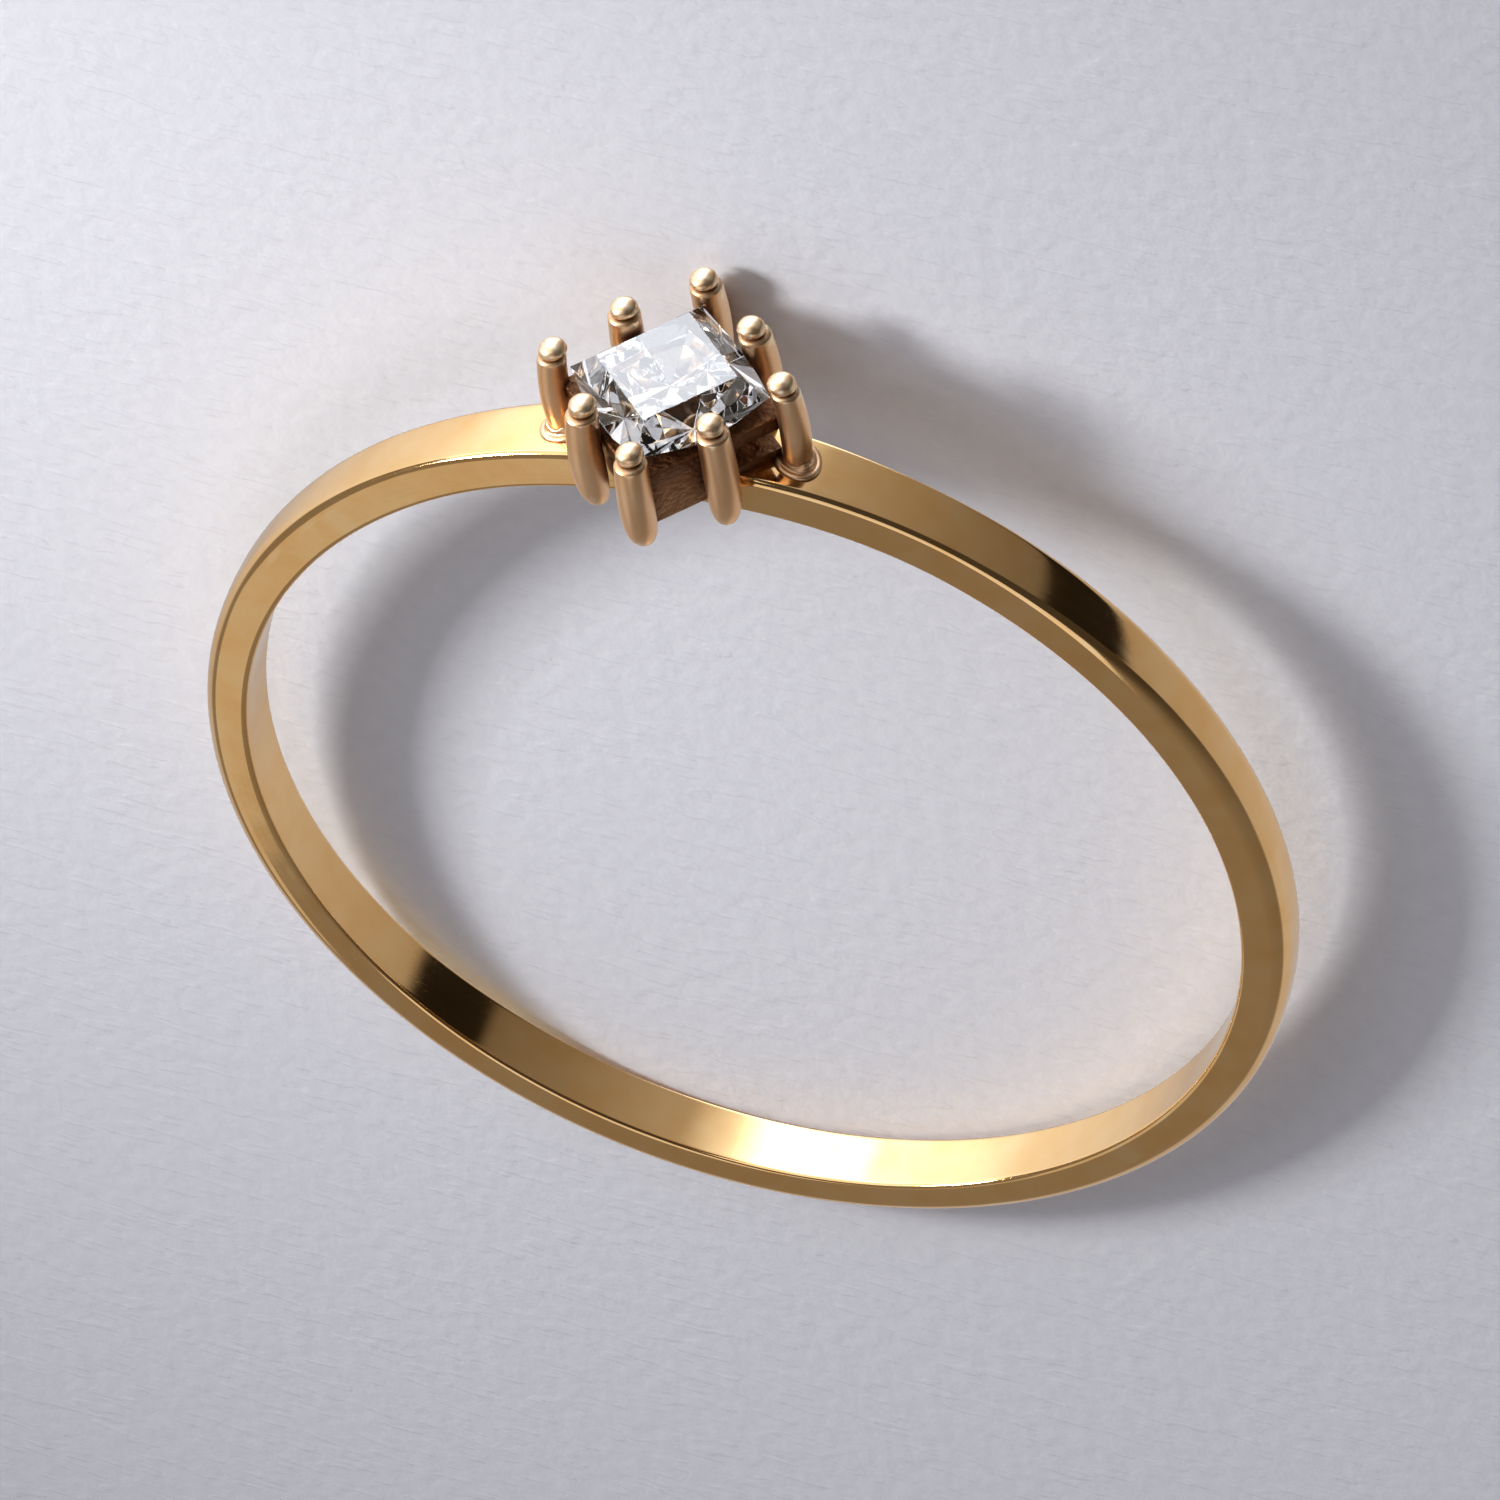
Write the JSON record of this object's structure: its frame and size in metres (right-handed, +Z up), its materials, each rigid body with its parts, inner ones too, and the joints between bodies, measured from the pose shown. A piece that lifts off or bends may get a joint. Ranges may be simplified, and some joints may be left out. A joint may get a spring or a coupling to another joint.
{
  "type": "stackable ring with a square stone",
  "caption": "Thin stackable finger ring, lying on its side, with a clear square stone set on its point in a clawed basket.",
  "frame": {"origin": "middle of the ring's footprint, on the surface that it lies on", "axes": "+Z up; the ring lies on its side with its setting towards -Y, raised on its lowest claw, and the back of the band towards +Y; X across the ring, which is mirror-symmetric about X = 0"},
  "size_m": [0.0186, 0.0204, 0.0046],
  "materials": {
    "polished_gold": "polished yellow gold",
    "clear_stone": "polished clear cut stone"
  },
  "bodies": {
    "root": {"ring_band_with_setting": "polished_gold", "square_stone": "clear_stone"}
  },
  "joints": []
}
